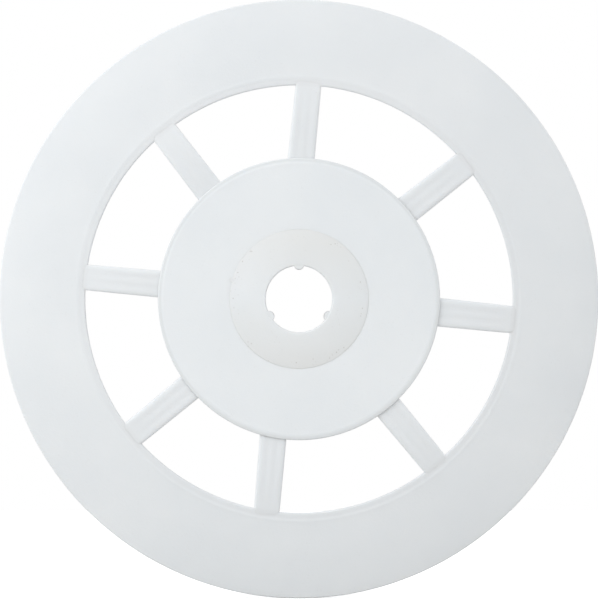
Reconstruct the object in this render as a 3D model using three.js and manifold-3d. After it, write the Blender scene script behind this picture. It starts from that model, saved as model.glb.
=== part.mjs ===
// An adjustable film developing reel: two windowed side wheels on a telescoping core.
// The reel's axis is Y and its front faces -Y, so it stands on its rims as a wheel does.
// Each side wheel is a ring, eight flat-faced spokes and a hub disc. The spokes have tenons at
// both ends, let into pockets in the ring and in the disc. A spiral film track stands on each
// ring's inner face. The front wheel carries the outer core tube and the rear wheel the inner
// one. An index ring, captive in the outer tube and keyed into the inner tube's slot, lets the
// rear half slide out to wider film, and turn a little each way to walk the film into its track.
import * as THREE from "three";
import { mergeVertices } from "three/addons/utils/BufferGeometryUtils.js";
import Module from "manifold-3d";

const wasm = await Module();
wasm.setup();

// ---- Driving dimensions, in millimetres and degrees ----
const filmWidth = 35; // the narrowest film, which the reel holds at rest
const filmPlay = 0.3; // across the film, between the two track floors

const rimRadius = 46;
const ringBore = 32.8; // radius of the front ring's inner edge
const rearBoreEase = 0.45; // the rear ring's is this much wider, so it stays behind the front one
const ringThick = 2.6; // at the ring's inner edge
const rimThick = 1.2; // the ring's outer face falls away towards its rim
const edgeRound = 0.7; // rounded shoulders on the outward side
const edgeBreak = 0.4; // small chamfers

const discRadius = 21.7;
const discThick = 3.2;

const spokeWidth = 4.15;
const spokeDepth = 2.8;
const spokeRound = 0.8; // its long edges are rounded, and its faces flat
const tenonWidth = 2.2;
const tenonThick = 1;
const tenonLength = 2.2;
const weldGap = 0.15; // round a tenon, and between a spoke's shoulder and its ring or disc

// Each spoke's bearing, anticlockwise from +X seen from the front, and how far its centre line
// passes to the left of the axis, looking outwards. They are fitted one by one, not quite evenly.
const spokes = [
  { bearing: 38.2, offset: 0.5 },
  { bearing: 84.3, offset: 1.8 },
  { bearing: 127.5, offset: 0.8 },
  { bearing: 174.8, offset: -0.35 },
  { bearing: 219.4, offset: -0.2 },
  { bearing: 265.1, offset: -2.15 },
  { bearing: 309.5, offset: 0 },
  { bearing: 354.2, offset: 0.15 },
];

const trackPitch = 1.65; // from one turn of film to the next
const trackRib = 0.7; // thickness of the spiral rib
const trackHeight = 1.1;
const trackRoot = 0.3; // the rib's foot, sunk in the ring
const trackMargin = 0.8; // plain ring inside the first turn and outside the last

const boreRadius = 5.1; // passes the tank's centre column
const boreBevel = 0.5;
const keyRadius = 0.85; // the three half-round keys in the bore
const keyHeight = 0.55;
const keyBearings = [90, 210, 330];
const bushWall = 1.75; // of the rear bush's plug, round the bore
const plugDepth = 1.2; // how far a hub bush plugs into its core tube
const pressGap = 0.1; // radial, between a plug and its tube
const innerTubeWall = 1.9;
const tubePlay = 0.25; // radial, between the two core tubes
const outerTubeWall = 1.5;
const tubeEndGap = 0.6; // each core tube stops this short of the far wheel's hub
const bossOverhang = 0.2; // the bush's boss is this much wider than the outer tube
const bossThick = 0.4; // proud of the disc
const bossEdge = 0.06; // height of the boss's outer edge
const bossShoulder = 2.1; // width of its steeper outer band
const bossFall = 0.12; // from the lip to that band
const lipWidth = 1; // the flat lip round the bore

const indexWidth = 3; // the index ring, along the axis
const indexWall = 0.8;
const indexGap = 0.1; // round the index ring and beside it
const indexFromEnd = 1.6; // from the outer tube's free end to the index ring's groove
const lugWidth = 2;
const lugLength = 1.6;
const lugHeight = 1.2;
const slotPlay = 0.2; // round the lug in the inner tube's slot
const slotEndWall = 2.2; // plain inner tube beyond the slot
const twist = 30; // the halves turn this far each way
const stopArc = 18; // degrees of the stop that stands in the index ring's gap
const stopGap = 0.5; // degrees left at each end of the twist

const roundSteps = 72; // facets round the rings
const hubSteps = 48; // facets round the hub parts and tubes
const trackSteps = 30; // facets in one turn of the film track
const edgeSteps = 2; // facets round a shoulder

// ---- What follows from them ----
const halfGap = (filmWidth + filmPlay) / 2; // from mid-plane to a ring's inner face
const innerTubeBore = boreRadius + bushWall + pressGap;
const innerTubeRadius = innerTubeBore + innerTubeWall;
const outerTubeBore = innerTubeRadius + tubePlay;
const outerTubeRadius = outerTubeBore + outerTubeWall;
const bossRadius = outerTubeRadius + bossOverhang;
const outerTubeEnd = halfGap - tubeEndGap; // its free end, near the rear disc
const innerTubeEnd = -(halfGap - plugDepth - tubeEndGap);
const indexInner = innerTubeRadius + indexGap;
const indexOuter = indexInner + indexWall;
const grooveRadius = indexOuter + indexGap;
const grooveTop = outerTubeEnd - indexFromEnd;
const grooveBottom = grooveTop - indexWidth - 2 * indexGap;
const indexMiddle = (grooveTop + grooveBottom) / 2;
const lugBearing = 90; // the lug and its slot are at the top of the core
const stopBearing = lugBearing + 180;
const past = 1; // how far a cutting solid runs past what it cuts
const radians = THREE.MathUtils.degToRad;

// ---- Solids ----

// A three.js geometry as a manifold-3d solid.
function solidOf(geometry) {
  const bare = geometry.clone();
  bare.deleteAttribute("normal");
  bare.deleteAttribute("uv");
  const merged = mergeVertices(bare, 1e-4);
  const mesh = new wasm.Mesh({
    numProp: 3,
    vertProperties: merged.attributes.position.array,
    triVerts: new Uint32Array(merged.index.array),
  });
  return new wasm.Manifold(mesh);
}

// A manifold-3d solid as a three.js geometry.
function geometryOf(solid) {
  const mesh = solid.getMesh();
  const geometry = new THREE.BufferGeometry();
  geometry.setAttribute("position", new THREE.BufferAttribute(mesh.vertProperties, 3));
  geometry.setIndex(new THREE.BufferAttribute(mesh.triVerts, 1));
  geometry.computeVertexNormals();
  return geometry;
}

const joined = (body, others) => others.reduce((sum, other) => sum.add(other), body);
const cut = (body, others) => others.reduce((rest, other) => rest.subtract(other), body);

// Turns a closed outline of [radius, y] round the Y axis, with a flat facet at the bottom.
function turned(outline, steps) {
  const points = outline.map(([r, y]) => new THREE.Vector2(r, y));
  if (THREE.ShapeUtils.area(points) < 0) points.reverse();
  points.push(points[0].clone());
  return solidOf(new THREE.LatheGeometry(points, steps, Math.PI / steps));
}

// Points of a rounded corner in an outline, from angle a to angle b in degrees.
function rounded(r, y, size, a, b) {
  return Array.from({ length: edgeSteps + 1 }, (_, i) => {
    const angle = radians(a + ((b - a) * i) / edgeSteps);
    return [r + size * Math.cos(angle), y + size * Math.sin(angle)];
  });
}

// A flat outline of [x, z] points, standing from y0 to y1.
function slab(points, y0, y1) {
  const shape = new THREE.Shape(points.map(([x, z]) => new THREE.Vector2(x, z)));
  const geometry = new THREE.ExtrudeGeometry(shape, { depth: y1 - y0, bevelEnabled: false });
  geometry.rotateX(Math.PI / 2); // the outline's second axis becomes Z, and its depth runs to -Y
  geometry.translate(0, y1, 0);
  return solidOf(geometry);
}

// Points on a circle round the axis, over an arc about the middle bearing.
function arcPoints(radius, middle, arc) {
  const steps = 6;
  return Array.from({ length: steps + 1 }, (_, i) => {
    const bearing = radians(middle - arc / 2 + (arc * i) / steps);
    return [radius * Math.cos(bearing), radius * Math.sin(bearing)];
  });
}

function wedge(inner, outer, middle, arc, y0, y1) {
  const outline = [...arcPoints(outer, middle, arc), ...arcPoints(inner, middle, arc).reverse()];
  return slab(outline, y0, y1);
}

function block(x, y, z, width, thick, height) {
  return new THREE.BoxGeometry(width, thick, height).translate(x, y, z);
}

// ---- The side wheels. side is -1 at the front and 1 at the rear ----

// A distance out from the wheel's inner face, as a place along the reel's axis.
const out = (side, distance) => side * (halfGap + distance);

// Radius of the inner edge of the ring on that side.
const boreOn = (side) => (side < 0 ? ringBore : ringBore + rearBoreEase);

// Turns an outline of [radius, distance out] on its side of the reel.
function turnedOn(side, outline, steps) {
  return turned(outline.map(([r, distance]) => [r, out(side, distance)]), steps);
}

// Moves a piece made along +X to a spoke's own line.
function alongSpoke(geometry, spoke) {
  geometry.translate(0, 0, spoke.offset);
  geometry.rotateY(-radians(spoke.bearing));
  return solidOf(geometry);
}

// A spoke's tenons, as one bar from end to end, or with clearance the pockets that take them.
function tenonBar(side, spoke, clearance) {
  const bar = block(
    (discRadius + boreOn(side)) / 2,
    out(side, spokeDepth / 2),
    0,
    boreOn(side) - discRadius + 2 * (tenonLength + clearance),
    tenonThick + 2 * clearance,
    tenonWidth + 2 * clearance,
  );
  return alongSpoke(bar, spoke);
}

const pockets = (side) => spokes.map((spoke) => tenonBar(side, spoke, weldGap));

// The spiral rib that parts the turns of film. Both wheels' tracks follow the same spiral.
function filmTrack(side) {
  const start = ringBore + trackMargin;
  const turns = (rimRadius - trackMargin - trackRib - start) / trackPitch;
  const steps = Math.round(turns * trackSteps);
  const edge = (radius) =>
    Array.from({ length: steps + 1 }, (_, i) => {
      const angle = (2 * Math.PI * i) / trackSteps;
      const r = radius + (trackPitch * i) / trackSteps;
      return [r * Math.cos(angle), r * Math.sin(angle)];
    });
  const outline = [...edge(start + trackRib), ...edge(start).reverse()];
  const faces = [out(side, -trackHeight), out(side, trackRoot)].sort((a, b) => a - b);
  return slab(outline, ...faces);
}

function ring(side) {
  const bore = boreOn(side);
  const outline = [
    [bore, edgeBreak],
    [bore + edgeBreak, 0],
    [rimRadius - edgeBreak, 0],
    [rimRadius, edgeBreak],
    [rimRadius, rimThick - edgeBreak],
    [rimRadius - edgeBreak, rimThick],
    ...rounded(bore + edgeRound, ringThick - edgeRound, edgeRound, 90, 180),
  ];
  return cut(turnedOn(side, outline, roundSteps), pockets(side)).add(filmTrack(side));
}

// A spoke's section, across and through: flat faces with rounded long edges between them.
function spokeSection() {
  const section = new THREE.Shape();
  const x = spokeWidth / 2 - spokeRound;
  const y = spokeDepth / 2 - spokeRound;
  section.absarc(x, y, spokeRound, 0, Math.PI / 2);
  section.absarc(-x, y, spokeRound, Math.PI / 2, Math.PI);
  section.absarc(-x, -y, spokeRound, Math.PI, 1.5 * Math.PI);
  section.absarc(x, -y, spokeRound, 1.5 * Math.PI, 2 * Math.PI);
  return section;
}

// A bar of that section, cut back to the shoulders where it meets the ring and the disc.
function spokeBar(side, spoke) {
  const bar = new THREE.ExtrudeGeometry(spokeSection(), {
    depth: rimRadius - discRadius / 2,
    bevelEnabled: false,
    curveSegments: 3,
  });
  bar.rotateY(Math.PI / 2); // its length runs along X and its width along Z
  bar.translate(discRadius / 2, out(side, spokeDepth / 2), 0);
  const between = [
    [discRadius + weldGap, -past],
    [boreOn(side) - weldGap, -past],
    [boreOn(side) - weldGap, spokeDepth + past],
    [discRadius + weldGap, spokeDepth + past],
  ];
  const visible = alongSpoke(bar, spoke).intersect(turnedOn(side, between, roundSteps));
  return visible.add(tenonBar(side, spoke, 0));
}

function hubDisc(side, hole) {
  const outline = [
    [hole, 0],
    [discRadius - edgeBreak, 0],
    [discRadius, edgeBreak],
    ...rounded(discRadius - edgeRound, discThick - edgeRound, edgeRound, 0, 90),
    [hole, discThick],
  ];
  return cut(turnedOn(side, outline, hubSteps), pockets(side));
}

// The low domed boss on the disc, with the keyed bore and a plug into the core tube.
function hubBush(side, tubeBore) {
  const plug = tubeBore - pressGap;
  const face = discThick + bossThick;
  const outline = [
    [boreRadius, -plugDepth],
    [plug, -plugDepth],
    [plug, discThick],
    [bossRadius, discThick],
    [bossRadius, discThick + bossEdge],
    [bossRadius - bossShoulder, face - bossFall],
    [boreRadius + boreBevel + lipWidth, face],
    [boreRadius + boreBevel, face],
    [boreRadius, face - boreBevel],
  ];
  const keyLength = plugDepth + face - boreBevel;
  const keys = keyBearings.map((bearing) => {
    const rod = new THREE.CylinderGeometry(keyRadius, keyRadius, keyLength, 16);
    const r = boreRadius + keyRadius - keyHeight;
    const middle = out(side, (face - boreBevel - plugDepth) / 2);
    rod.translate(r * Math.cos(radians(bearing)), middle, r * Math.sin(radians(bearing)));
    return solidOf(rod);
  });
  return joined(turnedOn(side, outline, hubSteps), keys);
}

// ---- The core ----

function outerTube() {
  const outline = [
    [outerTubeBore, out(-1, 0)],
    [outerTubeRadius, out(-1, 0)],
    [outerTubeRadius, outerTubeEnd],
    [outerTubeBore, outerTubeEnd],
    [outerTubeBore, grooveTop],
    [grooveRadius, grooveTop],
    [grooveRadius, grooveBottom],
    [outerTubeBore, grooveBottom],
  ];
  const root = (grooveRadius + outerTubeRadius) / 2; // the stop is rooted in the tube's wall
  const stop = wedge(outerTubeBore, root, stopBearing, stopArc, grooveBottom, grooveTop);
  return turned(outline, hubSteps).add(stop);
}

function innerTube() {
  const outline = [
    [innerTubeBore, innerTubeEnd],
    [innerTubeRadius, innerTubeEnd],
    [innerTubeRadius, out(1, 0)],
    [innerTubeBore, out(1, 0)],
  ];
  const slotFrom = innerTubeEnd + slotEndWall;
  const slotTo = indexMiddle + lugLength / 2 + slotPlay;
  const slot = block(
    0,
    (slotFrom + slotTo) / 2,
    innerTubeRadius,
    lugWidth + 2 * slotPlay,
    slotTo - slotFrom,
    2 * (innerTubeWall + past),
  );
  return turned(outline, hubSteps).subtract(solidOf(slot));
}

// A split hoop: its gap rides over the stop, and its lug reaches into the inner tube's slot.
function indexRing() {
  const y0 = indexMiddle - indexWidth / 2;
  const y1 = indexMiddle + indexWidth / 2;
  const outline = [
    [indexInner, y0],
    [indexOuter, y0],
    [indexOuter, y1],
    [indexInner, y1],
  ];
  const gapArc = stopArc + 2 * (twist + stopGap);
  const gap = wedge(
    indexInner - past,
    indexOuter + past,
    stopBearing,
    gapArc,
    y0 - past,
    y1 + past,
  );
  const lugTop = (indexInner + indexOuter) / 2;
  const lugBottom = lugTop - lugHeight - indexWall / 2;
  const lug = block(
    0,
    indexMiddle,
    (lugTop + lugBottom) / 2,
    lugWidth,
    lugLength,
    lugTop - lugBottom,
  );
  return turned(outline, hubSteps).subtract(gap).add(solidOf(lug));
}

// ---- The assembly ----
const finish = (color, roughness) => new THREE.MeshStandardMaterial({ color, roughness });
const reel = new THREE.Group();

function add(name, solid, material) {
  const mesh = new THREE.Mesh(geometryOf(solid), material);
  mesh.name = name;
  reel.add(mesh);
}

for (const [half, side, tubeBore] of [
  ["front", -1, outerTubeBore],
  ["rear", 1, innerTubeBore],
]) {
  add(`${half}_ring`, ring(side), finish("#e3e8ea", 0.45));
  add(`${half}_hub_disc`, hubDisc(side, tubeBore), finish("#e1e6e9", 0.45));
  add(`${half}_hub_bush`, hubBush(side, tubeBore), finish("#e4e3df", 0.5));
  spokes.forEach((spoke, i) => {
    add(`${half}_spoke_${i + 1}`, spokeBar(side, spoke), finish("#e2e7ea", 0.42));
  });
}
add("outer_core_tube", outerTube(), finish("#dfe4e6", 0.45));
add("inner_core_tube", innerTube(), finish("#dcdfe0", 0.45));
add("width_index_ring", indexRing(), finish("#cfccc2", 0.35));

export default reel;
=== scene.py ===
import math

import bmesh
import bpy
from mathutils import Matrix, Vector


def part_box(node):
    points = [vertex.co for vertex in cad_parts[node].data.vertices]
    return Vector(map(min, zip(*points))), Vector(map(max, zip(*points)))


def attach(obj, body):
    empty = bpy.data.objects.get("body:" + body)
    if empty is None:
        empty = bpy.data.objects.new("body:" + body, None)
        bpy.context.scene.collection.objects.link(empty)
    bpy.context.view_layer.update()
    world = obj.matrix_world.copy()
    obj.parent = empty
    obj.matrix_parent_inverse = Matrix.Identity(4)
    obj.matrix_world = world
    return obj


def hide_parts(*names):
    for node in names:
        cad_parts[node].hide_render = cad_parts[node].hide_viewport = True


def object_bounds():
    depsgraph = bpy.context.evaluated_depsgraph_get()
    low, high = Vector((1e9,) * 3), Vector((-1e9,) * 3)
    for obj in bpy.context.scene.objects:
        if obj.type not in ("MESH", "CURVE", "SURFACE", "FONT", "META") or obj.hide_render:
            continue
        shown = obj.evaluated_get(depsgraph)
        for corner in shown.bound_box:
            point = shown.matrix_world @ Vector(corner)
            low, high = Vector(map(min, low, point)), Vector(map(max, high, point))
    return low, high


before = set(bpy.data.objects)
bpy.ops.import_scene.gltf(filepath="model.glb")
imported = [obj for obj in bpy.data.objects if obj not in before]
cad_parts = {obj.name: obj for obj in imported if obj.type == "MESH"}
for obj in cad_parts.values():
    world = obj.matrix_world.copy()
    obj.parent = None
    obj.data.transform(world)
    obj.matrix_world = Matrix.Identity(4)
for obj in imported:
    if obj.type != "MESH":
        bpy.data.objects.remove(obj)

# Film developing reel: two spoked wheels on a telescoping core, in translucent white plastic.
# The reel's axis is Y and its front faces -Y. Lengths in the dictionaries are in millimetres.
mm = 0.001
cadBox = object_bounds()
scene = bpy.context.scene

# What the pieces share with the frame, in millimetres
innerFace = abs(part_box("front_hub_disc")[1].y) / mm  # from mid-plane to a wheel's inner face
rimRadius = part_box("front_ring")[1].x / mm
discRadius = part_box("front_hub_disc")[1].x / mm
discThick = abs(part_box("front_hub_disc")[0].y) / mm - innerFace
hubFace = abs(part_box("front_hub_bush")[0].y) / mm - innerFace
plugDepth = innerFace - abs(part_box("front_hub_bush")[1].y) / mm
spokeDepth = abs(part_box("front_spoke_2")[0].y) / mm - innerFace
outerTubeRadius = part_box("outer_core_tube")[1].x / mm
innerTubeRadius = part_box("inner_core_tube")[1].x / mm
sides = {"front": -1, "rear": 1}
smoothBelow = math.radians(38)  # edges sharper than this stay sharp
samePlace, shortEdge = 1e-7, 1e-8  # points this close are joined, and edges this short dissolved


def placeAt(side, radius, bearing, distance):
    # radius and bearing round the axis, and the distance out from the wheel's inner face
    y = side * (innerFace + distance)
    return Vector((radius * math.cos(bearing), y, radius * math.sin(bearing))) * mm


def softened(outline):
    # an outline of (radius, distance, corner) points with its corners rounded off
    steps = 5
    reach = 0.49  # a corner takes at most this share of the lines beside it
    points = []
    for i, (r, d, corner) in enumerate(outline):
        here = Vector((r, d))
        if corner == 0:
            points.append(here)
            continue
        before = Vector(outline[i - 1][:2]) - here
        after = Vector(outline[(i + 1) % len(outline)][:2]) - here
        start = here + before.normalized() * min(corner, before.length * reach)
        end = here + after.normalized() * min(corner, after.length * reach)
        for k in range(steps + 1):
            t = k / steps
            points.append(start * (1 - t) ** 2 + here * 2 * t * (1 - t) + end * t ** 2)
    return points


def closedSweep(rows, loop):
    # joins rows of equal length into quads; a loop joins its last row to the first, others are capped
    count = len(rows[0])
    points = [p for row in rows for p in row]
    faces = []
    for i in range(len(rows) if loop else len(rows) - 1):
        a, b = i * count, (i + 1) % len(rows) * count
        faces += [(a + j, a + (j + 1) % count, b + (j + 1) % count, b + j) for j in range(count)]
    if not loop:
        faces.append(tuple(reversed(range(count))))
        faces.append(tuple(range(len(points) - count, len(points))))
    return points, faces


def meshObject(name, points, faces):
    mesh = bpy.data.meshes.new(name)
    mesh.from_pydata(points, [], faces)
    piece = bpy.data.objects.new(name, mesh)
    scene.collection.objects.link(piece)
    tidyMesh(piece)
    return piece


def tidyMesh(piece):
    work = bmesh.new()
    work.from_mesh(piece.data)
    bmesh.ops.remove_doubles(work, verts=work.verts, dist=samePlace)
    bmesh.ops.dissolve_degenerate(work, edges=work.edges, dist=shortEdge)
    bmesh.ops.recalc_face_normals(work, faces=work.faces)
    for face in work.faces:
        face.smooth = True
    for edge in work.edges:
        edge.smooth = len(edge.link_faces) == 2 and edge.calc_face_angle(0) < smoothBelow
    work.to_mesh(piece.data)
    work.free()


def latheObject(name, side, outline, steps):
    profile = softened(outline)
    rows = []
    for i in range(steps):
        bearing = 2 * math.pi * i / steps
        rows.append([placeAt(side, p.x, bearing, p.y) for p in profile])
    return meshObject(name, *closedSweep(rows, True))


def combine(piece, tool, operation):
    # joins or cuts piece with tool, which is then gone
    modifier = piece.modifiers.new("combine", "BOOLEAN")
    modifier.operation = operation
    modifier.solver = "EXACT"
    modifier.object = tool
    made = bpy.data.meshes.new_from_object(piece.evaluated_get(bpy.context.evaluated_depsgraph_get()))
    piece.modifiers.clear()
    piece.data = made
    bpy.data.objects.remove(tool)
    tidyMesh(piece)


def rod(side, radius, bearing, rodRadius, low, high):
    # a small round rod along the reel's axis, for keys and marks
    sections = 24
    centre = placeAt(0, radius, bearing, 0)
    rows = []
    for distance in (low, high):
        y = side * (innerFace + distance) * mm
        rows.append([
            Vector((
                centre.x + rodRadius * mm * math.cos(2 * math.pi * j / sections),
                y,
                centre.z + rodRadius * mm * math.sin(2 * math.pi * j / sections),
            ))
            for j in range(sections)
        ])
    return meshObject("rod", *closedSweep(rows, False))


def fit(piece, body, node, material):
    piece.data.materials.clear()
    piece.data.materials.append(material)
    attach(piece, body)
    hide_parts(node)


class Value:
    # one socket of a shader, so that maths on it reads as an expression
    def __init__(self, shader, socket):
        self.shader = shader
        self.socket = socket

    def __add__(self, other):
        return self.shader.maths("ADD", self, other)

    def __sub__(self, other):
        return self.shader.maths("SUBTRACT", self, other)

    def __rsub__(self, other):
        return self.shader.maths("SUBTRACT", other, self)

    def __mul__(self, other):
        return self.shader.maths("MULTIPLY", self, other)

    def __truediv__(self, other):
        return self.shader.maths("DIVIDE", self, other)

    def __rtruediv__(self, other):
        return self.shader.maths("DIVIDE", other, self)

    __radd__ = __add__
    __rmul__ = __mul__


class Shader:
    # the nodes of a material or a world, all made by one method
    def __init__(self, owner):
        owner.use_nodes = True
        self.owner = owner
        self.tree = owner.node_tree
        self.surface = self.tree.nodes.get("Principled BSDF")

    def place(self):
        return self.node("ShaderNodeTexCoord", output="Object")

    def feed(self, socket, value):
        if isinstance(value, Value):
            self.tree.links.new(value.socket, socket)
        else:
            socket.default_value = value

    def node(self, kind, settings=None, inputs=None, output=0):
        made = self.tree.nodes.new(kind)
        for name, value in (settings or {}).items():
            if name == "stops":
                self.setStops(made.color_ramp, value)
            else:
                setattr(made, name, value)
        for name, value in (inputs or {}).items():
            self.feed(made.inputs[name], value)
        return made if output is None else Value(self, made.outputs[output])

    def setStops(self, ramp, stops):
        while len(ramp.elements) < len(stops):
            ramp.elements.new(0.5)
        for element, (position, level) in zip(ramp.elements, stops):
            element.position = position
            element.color = (level, level, level, 1)

    def maths(self, operation, a, b, clamp=False):
        return self.node("ShaderNodeMath", {"operation": operation, "use_clamp": clamp}, {0: a, 1: b})

    def clamped(self, value):
        return self.maths("ADD", value, 0.0, True)

    def noise(self, scale, detail=2, roughness=0.5, place=None):
        return self.node("ShaderNodeTexNoise", {"noise_dimensions": "3D"}, {
            "Vector": place or self.place(), "Scale": scale, "Detail": detail, "Roughness": roughness,
        })

    def stretched(self, across, along):
        # object coordinates squeezed, for marks that run round or along the piece
        scale = (across, along, across)
        return self.node("ShaderNodeMapping", inputs={"Vector": self.place(), "Scale": scale})

    def colours(self, factor, a, b):
        return self.node("ShaderNodeMix", {"data_type": "RGBA"}, {0: factor, 6: a, 7: b}, output=2)

    def ramp(self, value, stops):
        return self.node("ShaderNodeValToRGB", {"stops": stops}, {0: value})

    def fromAxis(self):
        # distance from the reel's axis, in metres
        flat = self.node("ShaderNodeVectorMath", {"operation": "MULTIPLY"}, {0: self.place(), 1: (1, 0, 1)})
        return self.node("ShaderNodeVectorMath", {"operation": "LENGTH"}, {0: flat}, output="Value")

    def band(self, value, low, high, soft):
        # 1 between low and high, and 0 outside, with soft edges
        rise = self.clamped((value - low) / soft)
        fall = self.clamped((high - value) / soft)
        return rise * fall

    def bump(self, height, distance, strength):
        return self.node("ShaderNodeBump", inputs={
            "Strength": strength, "Distance": distance, "Height": height,
        })


# each look's edge colour is painted shade for the dark line along the ring's bore and the disc's edge
plastics = {
    "ring": {  # thinner than the disc; its colour is the wheel's plastic painted darker, as painted shade, and the spokes use it too
        "colour": (0.785, 0.808, 0.828, 1), "cloud": (0.747, 0.775, 0.8, 1),
        "dirtAndShade": (0.53, 0.53, 0.52, 1), "edge": (0.72, 0.737, 0.757, 1),
        "roughness": 0.42, "milky": 0.4, "glow": 0.4,
    },
    "wheel": {
        "colour": (0.815, 0.842, 0.864, 1), "cloud": (0.778, 0.81, 0.837, 1),
        "dirtAndShade": (0.56, 0.555, 0.54, 1), "edge": (0.61, 0.63, 0.635, 1),
        "roughness": 0.42, "milky": 0.4, "glow": 0.4,
    },
    "hub": {
        "colour": (0.8, 0.828, 0.852, 1), "cloud": (0.76, 0.788, 0.806, 1),
        "dirtAndShade": (0.42, 0.4, 0.38, 1), "edge": (0.8, 0.8, 0.79, 1), "shadeAboveBelow": (0.75, 0.757, 0.752, 1),
        "roughness": 0.5, "milky": 0.4, "glow": 0.4,
    },
    "core": {
        "colour": (0.79, 0.83, 0.85, 1), "cloud": (0.75, 0.795, 0.82, 1),
        "dirtAndShade": (0.55, 0.54, 0.52, 1), "edge": (0.76, 0.78, 0.79, 1),
        "roughness": 0.44, "milky": 0.4, "glow": 0.4,
    },
}
grain = {  # shared by all the milky plastics; scales are per metre
    "cloud": 55, "flow": (90, 600), "fine": 2600, "pores": 7000, "scratches": (260, 2400),
    "specks": 1900, "patches": 420,  # dirt specks, and the patches that they lie in
    "ringEdge": (32.5, 33.9), "discEdge": (21, 22), "edgeShadeSoft": 0.3, "edgeShade": 0.35,  # bands by radius painted darker, as painted shade along the ring's bore edge and the disc's edge
    "corner": (9.3, 10.9), "rim": (45.2, 47), "dirtAndShadeSoft": 0.5,  # and the corner's dirt specks and the rim's painted shade
    "cornerSpecks": 0.6, "straySpecks": 0.1,
    "shadeAboveBelowReach": 9,  # where the painted shade above and below the bore is full
    "relief": 0.04, "reliefStrength": 0.5, "ior": 1.5, "scatter": (0.95, 1.0, 1.05),
}


def milkyPlastic(name, look):
    shader = Shader(bpy.data.materials.new(name))
    surface = shader.surface
    cloud = shader.noise(grain["cloud"], 3, 0.55)
    bands = plasticBands(shader)
    scratches = shader.noise(1.0, 4, 0.7, shader.stretched(*grain["scratches"]))
    scuff = shader.ramp(scratches, [(0.55, 0), (0.7, 1)])  # scuffs are duller and slightly rougher
    gloss = look["roughness"] + scuff * 0.1 + (cloud - 0.5) * 0.12 + bands["rim"] * 0.12

    shader.feed(surface.inputs["Base Color"], plasticColour(shader, look, cloud, bands))
    shader.feed(surface.inputs["Roughness"], shader.clamped(gloss))
    shader.feed(surface.inputs["Normal"], plasticRelief(shader, cloud, scuff))
    surface.inputs["IOR"].default_value = grain["ior"]
    surface.inputs["Subsurface Weight"].default_value = look["milky"]
    surface.inputs["Subsurface Radius"].default_value = grain["scatter"]
    surface.inputs["Subsurface Scale"].default_value = look["glow"] * mm
    return shader.owner


def plasticBands(shader):
    # rings round the axis: painted shade on the ring's bore edge and the disc's edge, dirt specks in the
    # corner round the boss, and a duller rim with painted shade
    radius = shader.fromAxis()

    def ringBand(name, soft):
        low, high = grain[name]
        return shader.band(radius, low * mm, high * mm, grain[soft] * mm)

    return {
        "edgeShade": ringBand("ringEdge", "edgeShadeSoft") + ringBand("discEdge", "edgeShadeSoft"),
        "corner": ringBand("corner", "dirtAndShadeSoft"),
        "rim": ringBand("rim", "dirtAndShadeSoft"),
    }


def plasticColour(shader, look, cloud, bands):
    # cloudy moulding, painted shade on the edges, then dirt specks in the corner round the boss and painted
    # shade on the rim
    flow = shader.noise(1.0, 3, 0.6, shader.stretched(*grain["flow"]))
    base = shader.colours(shader.ramp(cloud, [(0.35, 0), (0.7, 1)]), look["colour"], look["cloud"])
    base = shader.colours(shader.ramp(flow, [(0.4, 0), (0.8, 0.5)]), base, look["cloud"])
    # painted shade: a darker band along the ring's bore edge and the disc's edge
    base = shader.colours(shader.clamped(bands["edgeShade"] * grain["edgeShade"]), base, look["edge"])
    if "shadeAboveBelow" in look:
        # painted shade above and below the bore, darker towards the top and the bottom of the hub
        height = shader.node("ShaderNodeSeparateXYZ", inputs={0: shader.place()}, output="Z")
        share = shader.clamped(shader.maths("ABSOLUTE", height, 0.0) / (grain["shadeAboveBelowReach"] * mm))
        base = shader.colours(shader.clamped(share * (0.35 + cloud * 0.5)), base, look["shadeAboveBelow"])
    spots = shader.node("ShaderNodeTexVoronoi", {"feature": "F1"}, {
        "Vector": shader.place(), "Scale": grain["specks"], "Randomness": 1,
    }, output="Distance")
    patchy = shader.ramp(shader.noise(grain["patches"], 3, 0.7), [(0.5, 0), (0.62, 1)])
    specks = shader.ramp(spots, [(0.12, 1), (0.26, 0)]) * patchy
    dirtAndRimShade = specks * bands["corner"] * grain["cornerSpecks"] + specks * grain["straySpecks"]
    # painted shade: the rim darkened in a cloudy way, beside the dirt specks
    dirtAndRimShade = dirtAndRimShade + bands["rim"] * shader.ramp(cloud, [(0.3, 0.0), (0.7, 0.1)])
    return shader.colours(shader.clamped(dirtAndRimShade), base, look["dirtAndShade"])


def plasticRelief(shader, cloud, scuff):
    fine = shader.noise(grain["fine"], 2, 0.6)
    pores = shader.noise(grain["pores"], 1, 0.5)
    relief = fine * 0.6 + pores * 0.25 + scuff * 0.3 + cloud * 2.0
    return shader.bump(relief, grain["relief"] * mm, grain["reliefStrength"])


acetalLook = {
    "colour": (0.74, 0.72, 0.66, 1), "cloud": (0.68, 0.66, 0.59, 1), "roughness": 0.26,
    "cloudScale": 120, "fineScale": 3200, "toolMarks": (150, 5200), "relief": 0.03, "milky": 0.3, "glow": 1,
}


def indexPlastic():
    look = acetalLook
    shader = Shader(bpy.data.materials.new("index_acetal"))
    surface = shader.surface
    cloud = shader.noise(look["cloudScale"], 3, 0.5)
    fine = shader.noise(look["fineScale"], 2, 0.6)
    tool = shader.noise(1.0, 2, 0.5, shader.stretched(*look["toolMarks"]))
    gloss = look["roughness"] + fine * 0.12 + tool * 0.1
    shader.feed(surface.inputs["Base Color"], shader.colours(cloud, look["colour"], look["cloud"]))
    shader.feed(surface.inputs["Roughness"], shader.clamped(gloss))
    shader.feed(surface.inputs["Normal"], shader.bump(fine * 0.4 + tool, look["relief"] * mm, 0.5))
    surface.inputs["Subsurface Weight"].default_value = look["milky"]
    surface.inputs["Subsurface Scale"].default_value = look["glow"] * mm
    return shader.owner


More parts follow.
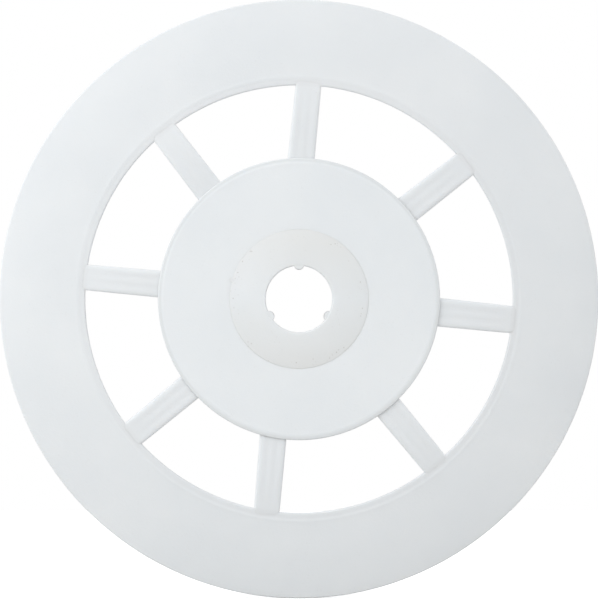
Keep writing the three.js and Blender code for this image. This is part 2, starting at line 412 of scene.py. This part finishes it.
# the ring's plastic is a darker copy of the wheel's plastic: painted shade
shadedRingPlastic = milkyPlastic("ring_plastic_shaded", plastics["ring"])
wheelPlastic = milkyPlastic("wheel_plastic", plastics["wheel"])
hubPlastic = milkyPlastic("hub_plastic", plastics["hub"])
corePlastic = milkyPlastic("core_plastic", plastics["core"])
acetal = indexPlastic()
print("materials made")


ringShape = {
    "bore": 32.8, "rearEase": 0.45,  # the rear ring's bore is this much wider
    "thick": 2.6, "rimThick": 1.2, "dishRadius": 39.5, "dishFall": 0.5,
    "bevel": 1.25, "bevelDrop": 0.05,  # the inner edge's bevel
    "lip": 0.012, "lipWidth": 0.5,  # and the faint lip outside it
    "edge": 0.3, "rimEdge": 0.2, "dishEdge": 4,  # corners
    "lipFoot": 0.2, "lipEdge": 0.12, "lipInside": 0.15,  # and the lip's
    "facets": 288,
}
track = {
    "start": 33.95, "pitch": 1.65, "turns": 6.42, "rib": 0.7, "height": 1.1, "root": 0.3,
    "lead": 0.25,  # turns over which it rises, and falls at the other end
    "leastHeight": 0.08,  # its height at the very ends, over the full height
    "facets": 72,  # in one turn
}


def trackRib(side):
    # the spiral rib, with a rounded crest, running down to nothing at both ends
    steps = round(track["turns"] * track["facets"])
    least = track["leastHeight"]
    half = track["rib"] / 2
    rows = []
    for i in range(steps + 1):
        turn = track["turns"] * i / steps
        lead = min(1, turn / track["lead"], (track["turns"] - turn) / track["lead"])
        height = track["height"] * (least + (1 - least) * math.sin(lead * math.pi / 2))
        centre = track["start"] + track["pitch"] * turn
        section = [
            (-half, track["root"]), (-half * 0.92, -height * 0.6), (-half * 0.7, -height * 0.9),
            (-half * 0.3, -height), (half * 0.3, -height), (half * 0.7, -height * 0.9),
            (half * 0.92, -height * 0.6), (half, track["root"]),
        ]
        rows.append([placeAt(side, centre + r, 2 * math.pi * turn, d) for r, d in section])
    return meshObject("rib", *closedSweep(rows, False))


def ringBore(side):
    return ringShape["bore"] + (ringShape["rearEase"] if side > 0 else 0)


def ringFace(radius):
    # how far out the ring's face is, falling away from the bore
    shape = ringShape
    share = (radius - shape["bore"]) / (shape["dishRadius"] - shape["bore"])
    return shape["thick"] - shape["dishFall"] * share


def makeRing(half, side):
    shape = ringShape
    bore = ringBore(side)
    crest = bore + shape["bevel"]
    flank = shape["lipWidth"]
    ring = latheObject(half + "_wheel_ring", side, [
        (bore, 0, shape["edge"]),
        (rimRadius, 0, shape["edge"]),
        (rimRadius, shape["rimThick"], shape["rimEdge"]),
        (shape["dishRadius"], shape["thick"] - shape["dishFall"], shape["dishEdge"]),
        (crest + flank, ringFace(crest + flank), shape["lipFoot"]),
        (crest + flank * 0.2, ringFace(crest) + shape["lip"], shape["lipEdge"]),
        (crest - flank * 0.2, ringFace(crest) + shape["lip"], shape["lipEdge"]),
        (crest - flank * 0.8, ringFace(crest) - shape["lip"] * 0.4, shape["lipInside"]),
        (bore, shape["thick"] - shape["bevelDrop"], shape["edge"]),
    ], shape["facets"])
    combine(ring, trackRib(side), "UNION")
    fit(ring, half + "_half", half + "_ring", shadedRingPlastic)


spokeShape = {
    "innerWidth": 1.04, "outerWidth": 0.97,  # widths at the disc and at the ring, over the spoke's own
    "sunk": 1.7,  # how far the inner end goes into the disc's edge
    "tail": 1.5,  # how far the run-out lies on the ring's face
    "point": 0.15,  # how much narrower the run-out gets
    "square": 14,  # 2 is an oval section, and more is squarer
    "ridge": 0.021, "ridges": 3,  # faint lengthwise ridges, as a share of the section's height
    "ridgeFade": 3.5,  # the last stretch, where they fade out
    "below": 0.05,  # the crown is this much lower than the bar it stands for
    "sink": 0.02, "plunge": 0.07,  # the run-out's start below the ring's face, and its end below that
    "underside": 0.02, "tailUnderside": 0.9, "lift": 3,  # the back is this far out, and rises along the tail
    "facets": 9, "steps": 44, "crowding": 1.35,  # steps lie closer together towards the tail
}
spokes = [  # bearing anticlockwise from +X, how far its centre line passes to the left, and width
    {"bearing": 38.2, "offset": 0.5, "width": 4.25},
    {"bearing": 84.3, "offset": 1.8, "width": 4.0},
    {"bearing": 127.5, "offset": 0.8, "width": 4.25},
    {"bearing": 174.8, "offset": -0.35, "width": 4.0},
    {"bearing": 219.4, "offset": -0.2, "width": 4.15},
    {"bearing": 265.1, "offset": -2.15, "width": 4.0},
    {"bearing": 309.5, "offset": 0.0, "width": 4.2},
    {"bearing": 354.2, "offset": 0.15, "width": 4.25},
]


def spokeSection(halfWidth, top, bottom, ridge):
    # points across and through a spoke, flat-faced with soft edges and faint ridges
    shape = spokeShape
    steps = shape["facets"]
    middle, rise = (top + bottom) / 2, (top - bottom) / 2
    points = []
    for face in (1, -1):
        for k in range(-steps, steps):
            across = face * math.sin(math.pi / 2 * k / steps)
            up = (1 - abs(across) ** shape["square"]) ** (1 / shape["square"])
            up *= 1 + ridge * math.cos(shape["ridges"] * math.pi * across)
            points.append((across * halfWidth, middle + face * up * rise))
    return points


def makeSpoke(half, side, number, spoke):
    shape = spokeShape
    bore = ringBore(side)
    bearing = math.radians(spoke["bearing"])
    along = Vector((math.cos(bearing), math.sin(bearing)))
    left = Vector((-math.sin(bearing), math.cos(bearing)))
    start = discRadius - shape["sunk"]
    end = bore + shape["tail"]
    rows = []
    for i in range(shape["steps"] + 1):
        share = i / shape["steps"]
        reach = start + (end - start) * (1 - (1 - share) ** shape["crowding"])
        tail = max(0.0, (reach - bore) / shape["tail"])
        lead = min(1.0, (reach - start) / (bore - start))  # the crown comes down to the ring's face
        lead = lead * lead * (3 - 2 * lead)
        taper = shape["innerWidth"] + (shape["outerWidth"] - shape["innerWidth"]) * share
        halfWidth = spoke["width"] / 2 * taper * (1 - shape["point"] * tail)
        crown = spokeDepth - shape["below"]
        landed = ringFace(reach) - shape["sink"] - shape["plunge"] * tail
        top = crown + (landed - crown) * lead
        bottom = shape["underside"] + shape["tailUnderside"] * min(1, tail * shape["lift"])
        ridge = shape["ridge"] * min(1, max(0, (bore - reach) / shape["ridgeFade"]))
        row = []
        for across, distance in spokeSection(halfWidth, top, bottom, ridge):
            flat = along * reach + left * (spoke["offset"] + across)
            row.append(Vector((flat.x, side * (innerFace + distance), flat.y)) * mm)
        rows.append(row)
    piece = meshObject(f"{half}_bar_spoke_{number}", *closedSweep(rows, False))
    fit(piece, half + "_half", f"{half}_spoke_{number}", shadedRingPlastic)


discShape = {
    "bevel": 0.8, "bevelDrop": 0.06, "lip": 0.015, "lipWidth": 0.4,
    "edge": 0.3, "faceEdge": 0.2, "lipEdge": 0.12,  # corners
    "moat": 0.015, "moatRadius": 10.7, "moatWidth": 1.1, "moatFloor": 0.4,  # the shallow dip round the boss
    "moatEdge": 0.5, "moatCorner": 0.4, "facets": 240,
}
bushShape = {
    "bore": 5.1, "rearEase": 0.1,  # the rear bush's bore is this much wider
    "bevel": 0.15, "lip": 1.0, "fall": 0.1, "shoulderRadius": 8.0, "radius": 10.8,
    "edgeHeight": 0.01, "buried": 0.5, "footFlare": 0.05,
    "boreEdge": 0.15, "plugEdge": 0.2, "rimEdge": 0.25,  # corners
    "shoulderEdge": 0.8, "lipEdge": 0.5, "bevelEdge": 0.06,
    "keyRadius": 0.85, "keyHeight": 0.55, "keyDrop": 0.06, "keyEnd": 0.05, "keys": (90, 210, 330),
    "gate": {"bearing": 164, "radius": 10.75, "size": 0.4, "height": 0.06, "root": 0.2},  # a moulding mark
    "facets": 160,
}


def makeDisc(half, side, hole):
    shape = discShape
    moat = discThick - shape["moat"]
    crest = discRadius - shape["bevel"]
    disc = latheObject(half + "_disc", side, [
        (hole, 0, 0),
        (discRadius, 0, shape["edge"]),
        (discRadius, discThick - shape["bevelDrop"], shape["faceEdge"]),
        (crest + shape["lipWidth"] / 2, discThick - shape["lip"], shape["lipEdge"]),
        (crest, discThick + shape["lip"], shape["lipEdge"]),
        (crest - shape["lipWidth"], discThick, shape["faceEdge"]),
        (shape["moatRadius"] + shape["moatWidth"], discThick, shape["moatEdge"]),
        (shape["moatRadius"] + shape["moatFloor"], moat, shape["moatCorner"]),
        (hole, moat, 0),
    ], shape["facets"])
    fit(disc, half + "_half", half + "_hub_disc", wheelPlastic)


def makeBush(half, side, plug):
    shape = bushShape
    foot = discThick - shape["buried"]
    edge = discThick + shape["edgeHeight"]
    bore = shape["bore"] + (shape["rearEase"] if side > 0 else 0)
    bush = latheObject(half + "_keyed_bush", side, [
        (bore, -plugDepth, shape["boreEdge"]),
        (plug, -plugDepth, shape["plugEdge"]),
        (plug, foot, 0),
        (shape["radius"] + shape["footFlare"], foot, 0),
        (shape["radius"], edge, shape["rimEdge"]),
        (shape["shoulderRadius"], hubFace - shape["fall"], shape["shoulderEdge"]),
        (bore + shape["bevel"] + shape["lip"], hubFace, shape["lipEdge"]),
        (bore + shape["bevel"], hubFace, shape["bevelEdge"]),
        (bore, hubFace - shape["bevel"], shape["bevelEdge"]),
    ], shape["facets"])
    keyCentre = shape["bore"] + shape["keyRadius"] - shape["keyHeight"]
    low, top = shape["keyEnd"] - plugDepth, hubFace - shape["keyDrop"]
    for bearing in shape["keys"]:
        combine(bush, rod(side, keyCentre, math.radians(bearing), shape["keyRadius"], low, top), "UNION")
    gate = shape["gate"]
    if half == "front":
        low, top = discThick - gate["root"], discThick + gate["height"]
        bearing = math.radians(gate["bearing"])
        combine(bush, rod(side, gate["radius"], bearing, gate["size"], low, top), "UNION")
    fit(bush, half + "_half", half + "_hub_bush", hubPlastic)


core = {
    "outerWall": 1.5, "innerWall": 1.9,
    "plugGap": 0.1,  # between a bush's plug and its tube
    "chamfer": 0.35, "innerMouth": 0.3, "innerRim": 0.4,  # corners at the tubes' free ends
    "grooveDepth": 0.75, "grooveGap": 0.1,  # the index ring's groove, and its play on each side
    "stopWidth": 2.8, "stopRoot": 0.2, "stopPlay": 0.02,  # the stop in the groove, set into its floor
    "slotWidth": 2.4, "slotEnd": 2.2, "slotStop": 0.5, "cutPast": 1,  # the index ring's slot
    "facets": 160,
}
for half, side in sides.items():
    tubeBore = innerTubeRadius - core["innerWall"]
    if half == "front":
        tubeBore = outerTubeRadius - core["outerWall"]
    makeRing(half, side)
    makeDisc(half, side, tubeBore)
    makeBush(half, side, tubeBore - core["plugGap"])
    for number, spoke in enumerate(spokes, 1):
        makeSpoke(half, side, number, spoke)
print("wheels made")


def tubeObject(name, outline):
    # an outline of (radius, place along the axis, corner)
    shifted = [(r, y - innerFace, corner) for r, y, corner in outline]
    return latheObject(name, 1, shifted, core["facets"])


def blockObject(low, high):
    xs, ys, zs = zip(low, high)
    corners = [Vector((x, y, z)) * mm for x in xs for y in ys for z in zs]
    faces = [(0, 1, 3, 2), (4, 6, 7, 5), (0, 4, 5, 1), (2, 3, 7, 6), (0, 2, 6, 4), (1, 5, 7, 3)]
    return meshObject("block", corners, faces)


def makeOuterTube():
    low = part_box("outer_core_tube")[0].y / mm
    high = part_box("outer_core_tube")[1].y / mm
    bore = outerTubeRadius - core["outerWall"]
    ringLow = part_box("width_index_ring")[0].y / mm - core["grooveGap"]
    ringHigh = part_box("width_index_ring")[1].y / mm + core["grooveGap"]
    groove = bore + core["grooveDepth"]
    tube = tubeObject("outer_tube", [
        (bore, low, 0), (outerTubeRadius, low, 0), (outerTubeRadius, high, core["chamfer"]),
        (bore, high, core["chamfer"]), (bore, ringHigh, 0), (groove, ringHigh, 0), (groove, ringLow, 0),
        (bore, ringLow, 0),
    ])
    halfStop = core["stopWidth"] / 2
    stopFoot = -groove - core["stopRoot"]
    stop = blockObject((-halfStop, ringLow, stopFoot), (halfStop, ringHigh, -bore - core["stopPlay"]))
    combine(tube, stop, "UNION")
    fit(tube, "front_half", "outer_core_tube", corePlastic)


def makeInnerTube():
    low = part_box("inner_core_tube")[0].y / mm
    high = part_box("inner_core_tube")[1].y / mm
    bore = innerTubeRadius - core["innerWall"]
    tube = tubeObject("inner_tube", [
        (bore, low, core["innerMouth"]), (innerTubeRadius, low, core["innerRim"]),
        (innerTubeRadius, high, 0), (bore, high, 0),
    ])
    halfSlot = core["slotWidth"] / 2
    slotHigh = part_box("width_index_ring")[1].y / mm - core["slotStop"]
    slotLow = low + core["slotEnd"]
    inside, outside = bore - core["cutPast"], innerTubeRadius + core["cutPast"]
    slot = blockObject((-halfSlot, slotLow, inside), (halfSlot, slotHigh, outside))
    combine(tube, slot, "DIFFERENCE")
    fit(tube, "rear_half", "inner_core_tube", corePlastic)


makeOuterTube()
makeInnerTube()
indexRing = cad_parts["width_index_ring"]
indexRing.data.materials.clear()
indexRing.data.materials.append(acetal)
print("core made")


studio = {
    "floorRadius": 1250, "floorFacets": 96,
    "floorColour": (0.93, 0.935, 0.94, 1), "floorGlow": 0.45, "floorRoughness": 0.75,
    "floorBounce": (0.62, 0.61, 0.59, 1),  # how pale the floor is to everything but the lens
    "front": 1.16, "back": 0.78, "backdrop": 1.0,  # levels of the surroundings
}
lamps = {
    "key": {"place": (-275, -170, 105), "size": 200, "power": 0.3, "colour": (0.97, 0.992, 1.0)},
}


def makeFloor():
    steps = studio["floorFacets"]
    low = cadBox[0].z
    reach = studio["floorRadius"] * mm
    turns = [2 * math.pi * i / steps for i in range(steps)]
    rim = [Vector((reach * math.cos(turn), reach * math.sin(turn), low)) for turn in turns]
    mesh = bpy.data.meshes.new("floor")
    mesh.from_pydata(rim, [], [tuple(range(steps))])
    floor = bpy.data.objects.new("floor", mesh)
    scene.collection.objects.link(floor)
    shader = Shader(bpy.data.materials.new("floor_paper"))
    paper = shader.surface
    shader.feed(paper.inputs["Roughness"], studio["floorRoughness"] + shader.noise(900) * 0.1)
    paper.inputs["Base Color"].default_value = studio["floorColour"]
    paper.inputs["Emission Color"].default_value = (1, 1, 1, 1)
    paper.inputs["Emission Strength"].default_value = studio["floorGlow"]
    seen = shader.node("ShaderNodeLightPath", output="Is Camera Ray")
    bounce = shader.node("ShaderNodeBsdfDiffuse", inputs={"Color": studio["floorBounce"]})
    seenPaper = Value(shader, paper.outputs["BSDF"])
    mixed = shader.node("ShaderNodeMixShader", inputs={0: seen, 1: bounce, 2: seenPaper})
    shader.feed(shader.tree.nodes["Material Output"].inputs["Surface"], mixed)
    floor.data.materials.append(shader.owner)


def makeWorld():
    # white where the camera looks, and for lighting a soft level that is lower behind the reel
    world = bpy.data.worlds.new("studio")
    shader = Shader(world)
    shader.tree.nodes.clear()

    def level(strength):
        return shader.node("ShaderNodeBackground", inputs={"Color": (1, 1, 1, 1), "Strength": strength})

    direction = shader.node("ShaderNodeTexCoord", output="Generated")
    depth = shader.node("ShaderNodeSeparateXYZ", inputs={0: direction}, output="Y")
    behind = shader.clamped(depth * 0.5 + 0.5)
    around = shader.node("ShaderNodeMixShader", inputs={
        0: behind, 1: level(studio["front"]), 2: level(studio["back"]),
    })
    seen = shader.node("ShaderNodeLightPath", output="Is Camera Ray")
    mixed = shader.node("ShaderNodeMixShader", inputs={0: seen, 1: around, 2: level(studio["backdrop"])})
    shader.node("ShaderNodeOutputWorld", inputs={"Surface": mixed}, output=None)
    scene.world = world


def makeLamp(name, lamp):
    light = bpy.data.lights.new(name, "AREA")
    light.shape = "SQUARE"
    light.size = lamp["size"] * mm
    light.energy = lamp["power"]
    light.color = lamp["colour"]
    holder = bpy.data.objects.new(name, light)
    holder.location = Vector(lamp["place"]) * mm
    holder.rotation_euler = (-holder.location).to_track_quat("-Z", "Y").to_euler()
    scene.collection.objects.link(holder)


camera = {
    "lens": 1200, "sensor": 36,
    "filled": 0.998,  # the reel's height over the picture's
    "lowered": 0.15,  # how far the lens sits below the reel's axis
    "nearest": 0.05, "farthest": 12,  # metres
}


def makeCamera():
    data = bpy.data.cameras.new("camera")
    data.lens = camera["lens"]
    data.sensor_width = camera["sensor"]
    data.clip_start = camera["nearest"]
    data.clip_end = camera["farthest"]
    seen = 2 * rimRadius * mm / camera["filled"]
    rimPlane = -(innerFace + ringShape["rimThick"]) * mm
    holder = bpy.data.objects.new("camera", data)
    distance = seen * camera["lens"] / camera["sensor"]
    holder.location = (0, rimPlane - distance, -camera["lowered"] * mm)
    holder.rotation_euler = (math.pi / 2, 0, 0)
    scene.collection.objects.link(holder)
    scene.camera = holder


makeFloor()
makeWorld()
for name, lamp in lamps.items():
    makeLamp(name, lamp)
makeCamera()
scene.view_settings.view_transform = "Standard"
scene.view_settings.look = "None"
print("studio made")
